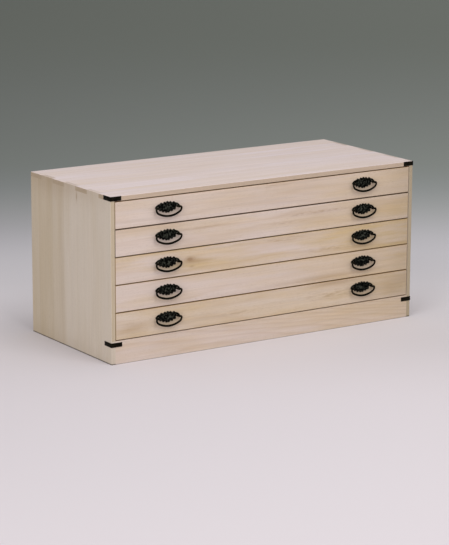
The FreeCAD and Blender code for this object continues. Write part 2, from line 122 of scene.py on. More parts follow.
def ramp(tree, value, stops, steps="LINEAR"):
    """A ramp from (place, grey) or (place, colour) pairs."""
    made = node(tree, "ValToRGB", {0: value})
    made.color_ramp.interpolation = steps
    elements = made.color_ramp.elements
    while len(elements) < len(stops):
        elements.new(1.0)
    for element, (place, tone) in zip(elements, stops):
        element.position = place
        element.color = (*np.broadcast_to(tone, 3).tolist(), 1.0)
    return made.outputs[0]


def noise(tree, vector, scale, detail=2.0, seed=0.0, rough=0.5):
    """Smooth noise; the seed is a fourth coordinate, so each board has its own."""
    values = {"Vector": vector, "W": seed, "Scale": scale, "Detail": detail, "Roughness": rough}
    return node(tree, "TexNoise", values, noise_dimensions="4D")


def new_material(name):
    """A material with a shader and nothing else; returns the material and its tree."""
    material = bpy.data.materials.new(name)
    material.use_nodes = True
    return material, material.node_tree


print("node helpers are ready")

# %% [markdown]
# ## Paulownia
#
# A board shows the growth rings of its trunk, cut along the grain.  So the wood is a solid
# pattern: every point has a distance from the trunk's heart, and the distance counted in
# ring widths says where in a ring the point lies.  Slow noise, drawn out along the grain,
# bends the rings and makes the flames of a flat-sawn face.  The same pattern gives the arcs
# on the board's end by itself.

# %% The board's own axes, and its rings
DRIFT = (1.3, 9.0, 9.0)               # scales per metre: along, across and into the board
UNEVEN = (0.4, 60.0, 60.0)
RING_STOPS = ((0.0, 0.25), (0.12, 0.0), (0.55, 0.18), (0.88, 1.0), (1.0, 0.25))


def board_axes(tree, order):
    """Two triples along, across and into the board: where a point is, and how it faces."""
    coordinates = node(tree, "TexCoord")
    places = node(tree, "SeparateXYZ", {0: coordinates.outputs["Object"]})
    normals = node(tree, "SeparateXYZ", {0: coordinates.outputs["Normal"]})
    axes = ["xyz".index(letter) for letter in order]
    parts = [places.outputs[axis] for axis in axes]
    facing = [maths(tree, "ABSOLUTE", normals.outputs[axis]) for axis in axes]
    return parts, facing


def stretched(tree, parts, scales):
    """A vector of the three board axes, each with its own scale."""
    scaled = [maths(tree, "MULTIPLY", part, scale) for part, scale in zip(parts, scales)]
    return node(tree, "CombineXYZ", dict(enumerate(scaled))).outputs[0]


def drawn_out(tree, parts, scales, detail, own, rough=0.5, output=0):
    """Noise with its own scale, per metre, along each of the board's axes."""
    return noise(tree, stretched(tree, parts, scales), 1.0, detail, own, rough).outputs[output]


def heart_distance(tree, parts, heart, lean, wander, own):
    """Distance from the trunk's heart, which slow noise bends.

    On the board's section: length of (place - lean x along - heart + wander x noise).
    """
    slow = drawn_out(tree, parts, DRIFT, 2.0, own, output="Color")
    drift = node(tree, "VectorMath", {0: slow, 1: (0.5, 0.5, 0.5)}, operation="SUBTRACT")
    drift = node(tree, "SeparateXYZ", {0: drift.outputs[0]})
    upright = maths(tree, "MULTIPLY_ADD", parts[0], -lean, parts[1])
    section = [
        maths(tree, "MULTIPLY_ADD", drift.outputs[i], 2 * wander,
              maths(tree, "SUBTRACT", place, middle))
        for i, (place, middle) in enumerate(zip((upright, parts[2]), heart))
    ]
    squares = [maths(tree, "MULTIPLY", side, side) for side in section]
    return maths(tree, "SQRT", maths(tree, "ADD", *squares))


def late_wood(tree, parts, distance, ring, own):
    """The dark late part of each ring: 0 in early wood, 1 just before a ring's end."""
    uneven = drawn_out(tree, parts, UNEVEN, 1.0, own)
    count = maths(tree, "ADD", maths(tree, "DIVIDE", distance, ring), uneven)
    return ramp(tree, maths(tree, "FRACT", count), RING_STOPS)


print("stops over a ring:", len(RING_STOPS))

# %% [markdown]
# ## Marks, staves and painted shade
#
# Over the rings lie fine fibres and short pores.  A knot pushes the rings aside, and a
# mineral streak is a short dark dash along the grain; both fade out over an oval.  A wide
# board is glued from staves, and each stave is another piece of the tree, so at a glue line
# the tone and the run of the grain change at once.  Along the gaps between the drawers a brown
# painted shade darkens the arrises and the gaps, and under each handle its shadow is painted on
# the wood.

# %% Helpers for marks and painted gap shade
GLUE_LINE = 0.0002                    # half its width
RIM_WIDTH = 0.0011                    # over the face
RIM_DEPTH = 0.007                     # into the gap
RIM_STOPS = ((0.0, 1.0), (0.35, 0.8), (0.62, 0.25), (1.0, 0.0))
DEPTH_STOPS = ((0.0, 1.0), (0.55, 0.95), (1.0, 0.12))
GAP_SHADE = (0.230, 0.107, 0.012, 1.0)   # painted shade of the gaps, brown over the arrises


def oval(tree, parts, spot):
    """1 in a spot's middle, e to the minus (a squared + b squared) around it.

    The spot is (along, across, half length, half width); a and b are the distances from its
    middle in those halves.
    """
    steps = [
        maths(tree, "DIVIDE", maths(tree, "SUBTRACT", place, middle), half)
        for place, middle, half in zip(parts, spot[:2], spot[2:])
    ]
    squares = [maths(tree, "MULTIPLY", step, step) for step in steps]
    return maths(tree, "EXPONENT", maths(tree, "MULTIPLY", maths(tree, "ADD", *squares), -1.0))


def ovals(tree, parts, spots):
    """Several ovals added up; each spot ends with its strength."""
    total = 0.0
    for *spot, strength in spots:
        total = maths(tree, "MULTIPLY_ADD", oval(tree, parts, spot), strength, total)
    return total


def stave_tone(tree, across, staves):
    """The tone of the stave that a point lies in; staves are (where it starts, tone)."""
    start, end = staves[0][0], staves[-1][0]
    place = maths(tree, "DIVIDE", maths(tree, "SUBTRACT", across, start), end - start)
    stops = [((at - start) / (end - start), tone) for at, tone in staves[:-1]]
    return ramp(tree, place, stops, "CONSTANT")


def glue_lines(tree, across, staves):
    """1 on the hair-thin lines between staves, 0 elsewhere."""
    total = 0.0
    for at, _ in staves[1:-1]:
        total = maths(tree, "ADD", total, maths(tree, "COMPARE", across, at, GLUE_LINE))
    return total


def painted_gap_shade(tree, parts, rim):
    """Painted gap shade: 1 on a front's outer arris, fading to 0 over its face and into the gap
    beside it.
    """
    middle, half_length, half_height, face = rim
    inwards = [
        maths(tree, "SUBTRACT", half_length, maths(tree, "ABSOLUTE", parts[0])),
        maths(tree, "SUBTRACT", half_height,
              maths(tree, "ABSOLUTE", maths(tree, "SUBTRACT", parts[1], middle))),
    ]
    inwards = maths(tree, "MULTIPLY", maths(tree, "MINIMUM", *inwards), 1 / RIM_WIDTH)
    deep = maths(tree, "MULTIPLY", maths(tree, "SUBTRACT", parts[2], face), 1 / RIM_DEPTH)
    return maths(tree, "MULTIPLY", ramp(tree, inwards, RIM_STOPS), ramp(tree, deep, DEPTH_STOPS))


# The rims are where the painted gap shade lies.
print("worn rims are", RIM_WIDTH * 1000, "mm wide")

# %% The grain of a board, and its light and dark
CLOUDS = (3.0, 26.0, 26.0)            # scales per metre: along, across and into the board
FIBRES = (7.0, 650.0, 650.0)
SILK = (4.0, 130.0, 130.0)
PORES = (110.0, 1500.0, 1500.0)
DASHES = (45.0, 380.0, 380.0)
KNOT_PUSH = 1.6                       # how far a knot bends the rings, in its half widths
END_WOOD = (0.465, 0.365, 0.255, 1.0)


def board_grain(tree, parts, heart, own, ring, wander, lean, knot):
    """The patterns of one board by name; `whirl` is 1 in the middle of its knot."""
    distance = heart_distance(tree, parts, heart, lean, wander, own)
    whirl = None
    if knot:
        whirl = oval(tree, parts, knot)
        distance = maths(tree, "MULTIPLY_ADD", whirl, KNOT_PUSH * knot[3], distance)
    late = late_wood(tree, parts, distance, ring, own)
    clouds = drawn_out(tree, parts, CLOUDS, 4.0, own, 0.6)
    pores = ramp(tree, drawn_out(tree, parts, PORES, 0.0, own), ((0.66, 0.0), (0.74, 1.0)))
    return {
        "late": late,
        "whirl": whirl,
        "clouds": ramp(tree, clouds, ((0.35, 0.0), (0.65, 1.0))),
        "fibres": drawn_out(tree, parts, FIBRES, 3.0, own, 0.6),
        "silk": drawn_out(tree, parts, SILK, 2.0, own),
        "pores": maths(tree, "MULTIPLY", pores, maths(tree, "SUBTRACT", 1.0, late)),
    }


def cut_faces(tree, parts, facing, colour, end_wood, edge_wood, edge_from):
    """Other colours on the long narrow edges and on the ends, where the grain is cut."""
    if edge_wood:
        edges = ramp(tree, facing[1], ((0.8, 0.0), (0.95, 1.0)))
        if edge_from is not None:
            reached = maths(tree, "GREATER_THAN", parts[0], edge_from)
            edges = maths(tree, "MULTIPLY", edges, reached)
        colour = mixed(tree, edges, colour, edge_wood)
    ends = ramp(tree, facing[0], ((0.6, 0.0), (0.9, 1.0)))
    return mixed(tree, ends, colour, end_wood)


def lightness(tree, parts, grain, silk_share, painted_shade, rim):
    """How light the wood is: silk and fibres, less the ovals of painted shade on its outer face.
    """
    light = maths(tree, "MULTIPLY_ADD", grain["silk"], silk_share, 0.88 - silk_share / 2)
    light = maths(tree, "MULTIPLY_ADD", grain["fibres"], 0.24, light)
    if painted_shade:
        shade = ovals(tree, parts, painted_shade)
        if rim:
            outer_face = maths(tree, "LESS_THAN", parts[2], rim[3] + RIM_WIDTH)
            shade = maths(tree, "MULTIPLY", shade, outer_face)
        light = maths(tree, "MULTIPLY", light, maths(tree, "SUBTRACT", 1.0, shade))
    return node(tree, "CombineXYZ", {0: light, 1: light, 2: light}).outputs[0]


print("end grain colour:", END_WOOD[:3])

# %% The whole wood
STAVE_SEEDS = 37.0                    # how far apart the noise of two staves lies
STAVE_CONTRAST = 1.6
RING_TINT = (0.80, 0.71, 0.60, 1.0)
MARK_TINT = (0.62, 0.52, 0.41, 1.0)
# A painted contact shadow, dark brown, along the foot of a board.
FOOT_SHADOW = (0.035, 0.024, 0.016, 1.0)


def wood_marks(tree, parts, grain, own, staves, knot, streaks, stains):
    """The shares of the dark marks: pores, glue lines, the knot, streaks and stains."""
    marks = [maths(tree, "MULTIPLY", grain["pores"], 0.35)]
    if staves:
        marks.append(maths(tree, "MULTIPLY", glue_lines(tree, parts[1], staves), 0.45))
    if knot:
        marks.append(maths(tree, "MULTIPLY", maths(tree, "POWER", grain["whirl"], 2.0), 0.8))
    if streaks:
        dashes = drawn_out(tree, parts, DASHES, 2.0, own)
        broken = ramp(tree, dashes, ((0.44, 0.0), (0.58, 1.0)))
        marks.append(maths(tree, "MULTIPLY", ovals(tree, parts, streaks), broken))
    if stains:
        marks.append(ovals(tree, parts, stains))
    return marks


def wood_surface(tree, grain, colour):
    """Links the colour, and gives the fibres their dull shine and their relief."""
    shader = tree.nodes["Principled BSDF"]
    tree.links.new(colour, shader.inputs["Base Color"])
    rough = maths(tree, "MULTIPLY_ADD", grain["fibres"], 0.16, 0.5)
    tree.links.new(rough, shader.inputs["Roughness"])
    shader.inputs["Specular IOR Level"].default_value = 0.35
    relief = maths(tree, "MULTIPLY_ADD", grain["late"], 0.5, grain["fibres"])
    relief = maths(tree, "SUBTRACT", relief, grain["pores"])
    bump = node(tree, "Bump", {"Height": relief, "Distance": 0.00012, "Strength": 0.5})
    tree.links.new(bump.outputs[0], shader.inputs["Normal"])


def paulownia(name, order, heart, seed, pale, tan, ring=0.006, wander=0.02, lean=0.0,
              strength=0.3, figure=0.5, warmer=0.0, end_wood=END_WOOD, edge_wood=None,
              edge_from=None, silk_share=0.18, staves=None, knot=None, streaks=(), stains=(),
              painted_shade=(), foot=None, rim=None, gap_shade=GAP_SHADE):
    """Paulownia for one board.

    `order` names the axes along, across and into the board, and `heart` is the trunk's
    middle in the two last ones.  `figure` is how much of the tan tone clouds the pale one,
    and `warmer` how much more of it there is a metre further along.  `end_wood` is the colour
    of the end grain, and `edge_wood` that of the board's long narrow edges, on the length
    after `edge_from`.  Streaks are broken into dashes, stains are smooth and brown, and the
    ovals of painted shade only darken.  `foot` is (upright axis, height of a painted contact
    shadow), and `rim` is (middle height, half length, half height, outer face) of a front
    whose arrises and gaps get a brown painted shade.
    """
    material, tree = new_material(name)
    parts, facing = board_axes(tree, order)
    own = float(seed)
    if staves:
        tone = stave_tone(tree, parts[1], staves)
        own = maths(tree, "MULTIPLY_ADD", tone, STAVE_SEEDS, own)
    grain = board_grain(tree, parts, heart, own, ring, wander, lean, knot)

    share = maths(tree, "MULTIPLY", grain["clouds"], figure)
    share = maths(tree, "MULTIPLY_ADD", parts[0], warmer, share)
    if staves:
        tone = maths(tree, "SUBTRACT", tone, 0.5)
        share = maths(tree, "MULTIPLY_ADD", tone, STAVE_CONTRAST, share)
    colour = mixed(tree, share, pale, tan)
    colour = cut_faces(tree, parts, facing, colour, end_wood, edge_wood, edge_from)
    ringed = mixed(tree, 1.0, colour, RING_TINT, "MULTIPLY")
    colour = mixed(tree, maths(tree, "MULTIPLY", grain["late"], strength), colour, ringed)
    light = lightness(tree, parts, grain, silk_share, painted_shade, rim)
    colour = mixed(tree, 1.0, colour, light, "MULTIPLY")

    darker = mixed(tree, 1.0, colour, MARK_TINT, "MULTIPLY")
    for mark in wood_marks(tree, parts, grain, own, staves, knot, streaks, stains):
        colour = mixed(tree, mark, colour, darker)
    # Painted contact shadow just above the floor.
    if foot:
        low = maths(tree, "DIVIDE", parts[foot[0]], foot[1])
        colour = mixed(tree, ramp(tree, low, ((0.5, 0.85), (1.0, 0.0))), colour, FOOT_SHADOW)
    # Painted shade of the gaps, brown along the front's arrises.
    if rim:
        colour = mixed(tree, painted_gap_shade(tree, parts, rim), colour, gap_shade)
    wood_surface(tree, grain, colour)
    return material


def dress(nodes, material):
    """Puts a material in the slots of CAD nodes."""
    for name in nodes:
        board = frame["nodes"][name]
        if not board.material_slots:
            board.data.materials.append(None)
        for slot in board.material_slots:
            slot.material = material


print("dark marks are tinted", MARK_TINT[:3])

# %% [markdown]
# ## Which board is which
#
# Each drawer front is cut from another plank, so each has its own heart, seed and tones,
# and its own streaks and stains; the third has a small knot.  The fronts lie with their
# grain across the chest and grow warmer towards the right.  The casing's sides stand, and
# the top follows the fronts.  The hidden boards are plainer.

# %% Wood for the drawer fronts and the plinth
PINK = (0.712, 0.594, 0.524, 1.0)
CREAM = (0.710, 0.590, 0.485, 1.0)
TAN = (0.665, 0.500, 0.295, 1.0)
HONEY = (0.640, 0.475, 0.260, 1.0)
HANDLE_X = max(joint["pos_m"][0] for joint in frame["joints"] if joint["type"] == "hinge")

FRONTS = {
    1: dict(heart=(0.02, 0.10), pale=PINK, tan=TAN, lean=-0.03, figure=0.50, strength=0.22,
            warmer=0.35),
    2: dict(heart=(-0.03, 0.05), pale=PINK, tan=TAN, lean=0.02, figure=0.65, strength=0.30,
            warmer=0.55),
    3: dict(heart=(0.01, -0.02), pale=PINK, tan=HONEY, figure=1.00, strength=0.32, warmer=0.50),
    4: dict(heart=(0.05, 0.12), pale=PINK, tan=TAN, lean=0.02, figure=0.65, strength=0.24,
            warmer=0.70),
    5: dict(heart=(-0.02, 0.03), pale=CREAM, tan=HONEY, figure=0.75, strength=0.30, warmer=0.05),
}
# Marks on each front: (along, up from its middle, half length, half width, strength).
STREAKS = {
    1: [(0.020, 0.030, 0.060, 0.004, 0.4)],
    2: [(0.125, 0.014, 0.050, 0.003, 0.6), (0.215, 0.016, 0.060, 0.003, 0.6),
        (0.060, -0.004, 0.050, 0.003, 0.4), (-0.200, 0.014, 0.060, 0.003, 0.3)],
    3: [(0.05, 0.026, 0.050, 0.006, 0.5), (0.20, -0.018, 0.080, 0.006, 0.4)],
    4: [(0.13, -0.026, 0.100, 0.004, 0.20)],
    5: [(0.21, 0.0, 0.080, 0.012, 0.5), (-0.10, -0.012, 0.060, 0.006, 0.4)],
}
STAINS = {
    1: [(0.000, -0.004, 0.180, 0.032, 0.14)],
    2: [(0.170, 0.015, 0.120, 0.007, 0.28), (-0.200, 0.014, 0.080, 0.006, 0.15)],
    3: [(-0.250, 0.006, 0.008, 0.005, 0.55), (-0.246, 0.004, 0.024, 0.010, 0.45),
        (-0.215, -0.002, 0.040, 0.006, 0.40), (-0.244, -0.014, 0.008, 0.003, 0.50)],
    4: [(0.200, -0.024, 0.120, 0.009, 0.30)],
    5: [(-0.425, -0.008, 0.050, 0.016, 0.45), (-0.200, -0.006, 0.050, 0.012, 0.20),
        (0.220, 0.030, 0.080, 0.007, 0.45), (0.430, 0.000, 0.070, 0.030, 0.25)],
}
KNOT = (-0.250, 0.006, 0.016, 0.007)             # on the third front, without a strength
# How dark and brown the painted shade in each front's gaps is: darkest between the first and the
# second.
GAP_SHADES = {
    1: GAP_SHADE, 2: (0.075, 0.030, 0.004, 1.0), 3: (0.400, 0.250, 0.100, 1.0),
    4: (0.420, 0.270, 0.120, 1.0), 5: (0.340, 0.190, 0.060, 1.0),
}
RIGHT_END_SHADE = (0.510, 0.2, 0.110, 1.0, 0.20)        # painted shade of light falling off: every front is darker at its right end
HANDLE_SHADOW = (0.008, 0.036, 0.013, 0.35)      # painted shadow of each handle: under the pivot, then as for the marks


def lifted(marks, middle):
    """Marks that are measured from a front's middle, at their height on the chest."""
    return [(at, middle + up, *rest) for at, up, *rest in marks]


for row, look in FRONTS.items():
    low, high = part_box(f"drawer_{row}_front")
    middle = (low.z + high.z) / 2
    across, into = look.pop("heart")
    pivot_z = next(joint["pos_m"][2] for joint in frame["joints"]
                   if joint["child"] == f"drawer_{row}_bail_left")
    # Painted shadow of each handle on its front, a darker oval.
    under, *faded = HANDLE_SHADOW
    handle_shadows = [(side * HANDLE_X, pivot_z - under, *faded) for side in (-1, 1)]
    wood = paulownia(
        f"paulownia_front_{row}", "xzy", (middle + across, into), 3.7 * row,
        knot=lifted([KNOT], middle)[0] if row == 3 else None,
        streaks=lifted(STREAKS[row], middle), stains=lifted(STAINS[row], middle),
        painted_shade=[RIGHT_END_SHADE] + handle_shadows, gap_shade=GAP_SHADES[row],
        rim=(middle, high.x, (high.z - low.z) / 2, low.y), **look)
    dress([f"drawer_{row}_front"], wood)
# The plinth gets a weaker painted shade at its right end, and a painted contact shadow at its
# foot.
plinth = paulownia("paulownia_plinth", "xzy", (-0.02, -0.05), 23.0, PINK, TAN, lean=-0.12,
                   figure=0.55, strength=0.36, warmer=0.35, painted_shade=[(*RIGHT_END_SHADE[:4], 0.08)],
                   foot=(1, 0.0012))
dress(["plinth_front_board"], plinth)
print("fronts dressed:", len(FRONTS))

# %% Wood for the casing
# The top's pale is whiter and pinker than the fronts': partly a painted sheen for the grazing
# reflection and overhead light on the top.
TOP_PALE_AND_SHEEN = (0.765, 0.655, 0.645, 1.0)
SIDE_PALE = (0.665, 0.580, 0.480, 1.0)
SIDE_TAN = (0.560, 0.455, 0.310, 1.0)
SIDE_ENDS = (0.715, 0.610, 0.560, 1.0)
PEG_TAN = (0.42, 0.29, 0.17, 1.0)
# Staves: (where each starts, tone), and the last pair is the board's end.
TOP_STAVES = [(-0.208, 0.52), (-0.118, 0.47), (-0.022, 0.54), (0.066, 0.48), (0.150, 0.52),
              (0.220, 0.5)]
SIDE_STAVES = [(-0.208, 0.43), (0.038, 0.66), (0.100, 0.82), (0.177, 0.78), (0.220, 0.5)]
BACK_STAVES = [(0.050, 0.45), (0.148, 0.56), (0.246, 0.5), (0.345, 0.6), (0.4435, 0.5)]
# Darker patches on the sides, two near the top, one along the foot and one upright band: (up,
# towards the back, half height, half width, strength).
SIDE_DARKENING = [(0.455, 0.120, 0.050, 0.140, 0.45), (0.455, -0.080, 0.040, 0.120, 0.28),
         (-0.005, 0.060, 0.036, 0.400, 0.14), (0.200, 0.052, 0.300, 0.014, 0.14)]
top = paulownia("paulownia_top", "xyz", (0.05, 0.10), 31.0, TOP_PALE_AND_SHEEN, TAN, figure=0.30,
                strength=0.2, edge_wood=(0.570, 0.445, 0.335, 1.0), staves=TOP_STAVES)
# Both sides get a painted contact shadow at their foot.
side_look = dict(pale=SIDE_PALE, tan=SIDE_TAN, figure=0.35, strength=0.12, stains=SIDE_DARKENING,
                 end_wood=SIDE_ENDS, silk_share=0.05, staves=SIDE_STAVES, foot=(0, 0.0034))
left = paulownia("paulownia_side_left", "zyx", (-0.02, -0.30), 41.0,
                 edge_wood=(0.565, 0.465, 0.330, 1.0), edge_from=0.063,
                 streaks=[(0.423, -0.031, 0.013, 0.003, 1.0)], **side_look)
# The right side's front edge is darker than the left's: painted shade of the light falling off
# towards the right.
right = paulownia("paulownia_side_right", "zyx", (0.04, 0.30), 47.0,
                  edge_wood=(0.455, 0.370, 0.255, 1.0), **side_look)
inner = paulownia("paulownia_inner", "xyz", (0.3, 0.6), 53.0, CREAM, HONEY, figure=0.5)
back = paulownia("paulownia_back", "xzy", (0.25, 0.45), 59.0, CREAM, HONEY, figure=0.5,
                 staves=BACK_STAVES)
peg_wood = paulownia("peg_wood", "yxz", (0.0, 0.0), 61.0, HONEY, PEG_TAN, ring=0.001,
                     wander=0.002)
dress(["top_board"], top)
dress(["side_board_left"], left)
dress(["side_board_right"], right)
dress(["bottom_board", "top_drawer_stop_strip", "plinth_rear_rail"], inner)
dress([f"shelf_board_{row}" for row in range(1, 5)], inner)
dress(["back_panel"], back)
dress(["back_panel_pegs"], peg_wood)
print("staves in the top:", len(TOP_STAVES) - 1, " in a side:", len(SIDE_STAVES) - 1)

# %% Wood for the insides of the drawers
FLOOR_STAVES = [(-0.201, 0.5), (-0.09, 0.46), (0.03, 0.55), (0.12, 0.48), (0.207, 0.5)]
box_side = paulownia("paulownia_drawer_side", "yzx", (0.2, 0.9), 67.0, CREAM, HONEY, figure=0.5)
box_back = paulownia("paulownia_drawer_back", "xzy", (0.2, 0.6), 71.0, CREAM, HONEY, figure=0.5)
box_floor = paulownia("paulownia_drawer_floor", "xyz", (0.1, 0.7), 73.0, CREAM, HONEY,
                      figure=0.5, staves=FLOOR_STAVES)
for row in DRAWERS:
    dress([f"drawer_{row}_side_{hand}" for hand in HANDS], box_side)
    dress([f"drawer_{row}_back"], box_back)
    dress([f"drawer_{row}_bottom"], box_floor)
print("materials:", len(bpy.data.materials))

# %% [markdown]
# ## Black iron
#
# The fittings are iron, hammered thin and blackened with lacquer over the fire.  The black
# is not even: it is browner where hands rub it, and the hammer leaves shallow dents that
# break up the shine.

# %% The iron
SOOT, WORN = (0.0030, 0.0022, 0.0006, 1.0), (0.018, 0.015, 0.008, 1.0)
# On the plates the raised steps are lighter: rubbed iron, and partly painted highlights.
PLATE_SOOT, PLATE_WORN_AND_GLINT = (0.0004, 0.0005, 0.0002, 1.0), (0.060, 0.064, 0.050, 1.0)
PLATE_DEPTH = 0.0042                  # from a plate's back to its highest step
STEP_STOPS = ((0.30, 0.25), (0.85, 0.8), (1.0, 1.0))


def rubbed_and_glinting_steps(tree, place, back):
    """1 on what stands out from the plane y = back and was knocked, 0 in the hollows; rubbed
    grey and partly a painted highlight.
    """
    out = node(tree, "SeparateXYZ", {0: place}).outputs[1]
    out = maths(tree, "DIVIDE", maths(tree, "SUBTRACT", back, out), PLATE_DEPTH)
    knocks = noise(tree, place, 200.0, 1.0, 8.0).outputs[0]
    knocks = ramp(tree, knocks, ((0.49, 0.0), (0.60, 1.0)))
    return maths(tree, "MULTIPLY", ramp(tree, out, STEP_STOPS), knocks)


def black_iron(name, dents, back=None):
    """Blackened iron with hammer dents `dents` millimetres across.

    On a plate that lies on the plane y = back, the dents and steps that stand out are rubbed
    to grey and partly carry a painted highlight, and the hollows are sooty.
    """
    material, tree = new_material(name)
    shader = tree.nodes["Principled BSDF"]
    place = node(tree, "TexCoord").outputs["Object"]
    patches = noise(tree, place, 90.0, 4.0, 2.0).outputs[0]
    grain = noise(tree, place, 1800.0, 2.0, 5.0).outputs[0]
    if back is None:
        rubbed, shine = ramp(tree, patches, ((0.42, 0.0), (0.78, 1.0))), 0.05
        colour = mixed(tree, rubbed, SOOT, WORN)
    else:
        rubbed, shine = rubbed_and_glinting_steps(tree, place, back), 0.03
        colour = mixed(tree, rubbed, PLATE_SOOT, PLATE_WORN_AND_GLINT)
    tree.links.new(colour, shader.inputs["Base Color"])
    shader.inputs["Specular IOR Level"].default_value = shine
    rough = maths(tree, "MULTIPLY_ADD", patches, 0.25, 0.36)
    rough = maths(tree, "MULTIPLY_ADD", grain, 0.10, rough)
    tree.links.new(rough, shader.inputs["Roughness"])
    cells = {"Vector": place, "Scale": 1000.0 / dents}
    dent = node(tree, "TexVoronoi", cells, feature="SMOOTH_F1").outputs["Distance"]
    height = maths(tree, "MULTIPLY_ADD", grain, 0.25, dent)
    bump = node(tree, "Bump", {"Height": height, "Distance": 0.0002, "Strength": 0.55})
    tree.links.new(bump.outputs[0], shader.inputs["Normal"])
    return material


IRON = black_iron("blackened_iron", 2.6)
PLATE_IRON = black_iron("blackened_plate_iron", 1.8, back=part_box("drawer_1_front")[0].y)
print("irons:", IRON.name, "and", PLATE_IRON.name)

# %% [markdown]
# ## From rings of points to a piece
#
# Every new shape is a skin over rings of points.  A ring may be the section of a bar as it
# is carried along, or one step of a turned profile.  The rings are worked out as whole
# arrays, in millimetres from a handy origin, and moved to their place on the chest at the
# end.

# %% Skins, and pieces made of them
def skin(rings, looped=False):
    """Covers an array (rings, points, 3) with quads.

    Point j of ring i is joined to point j + 1 of that ring and to the same two points of
    ring i + 1.  The end rings get flat caps, or are joined to each other when `looped`.
    """
    numbers = np.arange(rings.shape[0] * rings.shape[1]).reshape(rings.shape[:2])
    along = np.vstack([numbers, numbers[:1]]) if looped else numbers
    beside = np.roll(along, -1, axis=1)
    quads = np.stack([along[:-1], beside[:-1], beside[1:], along[1:]], axis=-1)
    caps = [] if looped else [numbers[:1], numbers[-1:]]
    return rings.reshape(-1, 3), [quads.reshape(-1, 4)] + caps


def moved(part, offset):
    """The same skin at another place."""
    points, faces = part
    return points + np.asarray(offset, float), faces


def together(parts):
    """Several skins as one, with their faces' corners counted on."""
    starts = np.cumsum([0] + [len(points) for points, _ in parts])
    faces = [block + start for (_, blocks), start in zip(parts, starts) for block in blocks]
    return np.vstack([points for points, _ in parts]), faces


def new_piece(name, part, material, body, *nodes):
    """Makes the object from a skin in millimetres, and lets it stand for CAD nodes."""
    points, faces = part
    corners = [face for block in faces for face in block.tolist()]
    mesh = bpy.data.meshes.new(name)
    mesh.from_pydata((points * 0.001).tolist(), [], corners)
    shape = bmesh.new()
    shape.from_mesh(mesh)
    bmesh.ops.recalc_face_normals(shape, faces=shape.faces)
    shape.to_mesh(mesh)
    shape.free()
    mesh.shade_smooth()
    mesh.set_sharp_from_angle(angle=radians(50))
    mesh.materials.append(material)
    made = bpy.data.objects.new(name, mesh)
    bpy.context.scene.collection.objects.link(made)
    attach(made, body)
    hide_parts(*nodes)


strip = skin(np.zeros((3, 4, 3)))
print("a skin over 3 rings of 4 points has", len(strip[1][0]), "sides and 2 caps")

# %% Sections and sweeps
OUT = np.array([0.0, -1.0, 0.0])      # out of the drawer's front
UP = np.array([0.0, 0.0, 1.0])
SIDEWAYS = np.array([1.0, 0.0, 0.0])


def eased_rectangle(width, height, corner, steps=4):
    """Outline of a rectangle with quarter-round corners.

    Each corner is its centre plus its radius times (cosine, sine) over a quarter turn.
    """
    quarters = np.arange(4)[:, None] * pi / 2 + np.linspace(0, pi / 2, steps)
    signs = np.array([[1, 1], [-1, 1], [-1, -1], [1, -1]])
    centres = signs * (width / 2 - corner, height / 2 - corner)
    arcs = corner * np.stack([np.cos(quarters), np.sin(quarters)], axis=-1)
    return (centres[:, None] + arcs).reshape(-1, 2)


def carried(path, across, up, outline):
    """Rings of an outline carried along a path.

    Ring point = path point + first measure x `across` + second measure x `up`.
    """
    return (path[:, None] + outline[..., :1] * np.atleast_2d(across)[:, None]
            + outline[..., 1:] * np.atleast_2d(up)[:, None])


def turned(profile, sides, axis, start=(0, 0, 0)):
    """Rings of a profile turned round an axis.

    The profile is (radius, height) pairs; ring point = start + height x axis + radius x
    (cosine x one side + sine x the other).
    """
    one = np.cross(axis, UP if abs(axis[2]) < 0.5 else SIDEWAYS)
    other = np.cross(axis, one)
    turn = np.linspace(0, 2 * pi, sides, endpoint=False)
    spokes = np.cos(turn)[:, None] * one + np.sin(turn)[:, None] * other
    profile = np.asarray(profile, float)
    return (np.asarray(start, float) + profile[:, 1, None, None] * axis
            + profile[:, 0, None, None] * spokes)


print("a 10 by 4 section has", len(eased_rectangle(10, 4, 1)), "points")

# %% [markdown]
# ## The bail
#
# The bail is the drop handle that the hand takes.  It is a bar, a little thicker at its
# lowest point, bent to a long bow with tight elbows, and its ends turn inwards through
# two eyes.  The smith swells the pin's end over so that it stays in its eye.  One sweep
# makes it all: the path runs over three arcs that meet without a corner, and the bow is
# hammered a little flat, so it is wider than it is thick.

# %% Make the bails
POST_X = 33.0                         # from the bail's middle to each eye
ELBOW, SHOULDER = 3.0, 12.0           # radii of the two bends
BOW_HALF, BOW_DROP = 38.7, 22.0       # how far the bar's middle goes sideways and down
ROD = 2.38                            # the bar's radius at the elbow
SWELL = 0.12                          # how much more it is at the lowest point
FLATTENED = 0.20                      # how much wider than thick the bow is
# The pin: distance from the bail's middle, and radius.
PIN = np.array([(30.4, 1.1), (30.48, 1.65), (30.7, 1.95), (30.92, 1.9), (31.0, 1.58),
                (33.0, 1.58), (35.05, 1.58), (35.3, 1.85)])


def arc_path(centre, radius, start, end, steps):
    """Points of an arc as (x, z, lean): centre + radius x (cosine, sine) of the lean."""
    lean = np.linspace(start, end, steps)
    x, z = centre[0] + radius * np.cos(lean), centre[1] + radius * np.sin(lean)
    return np.stack([x, z, lean], 1)


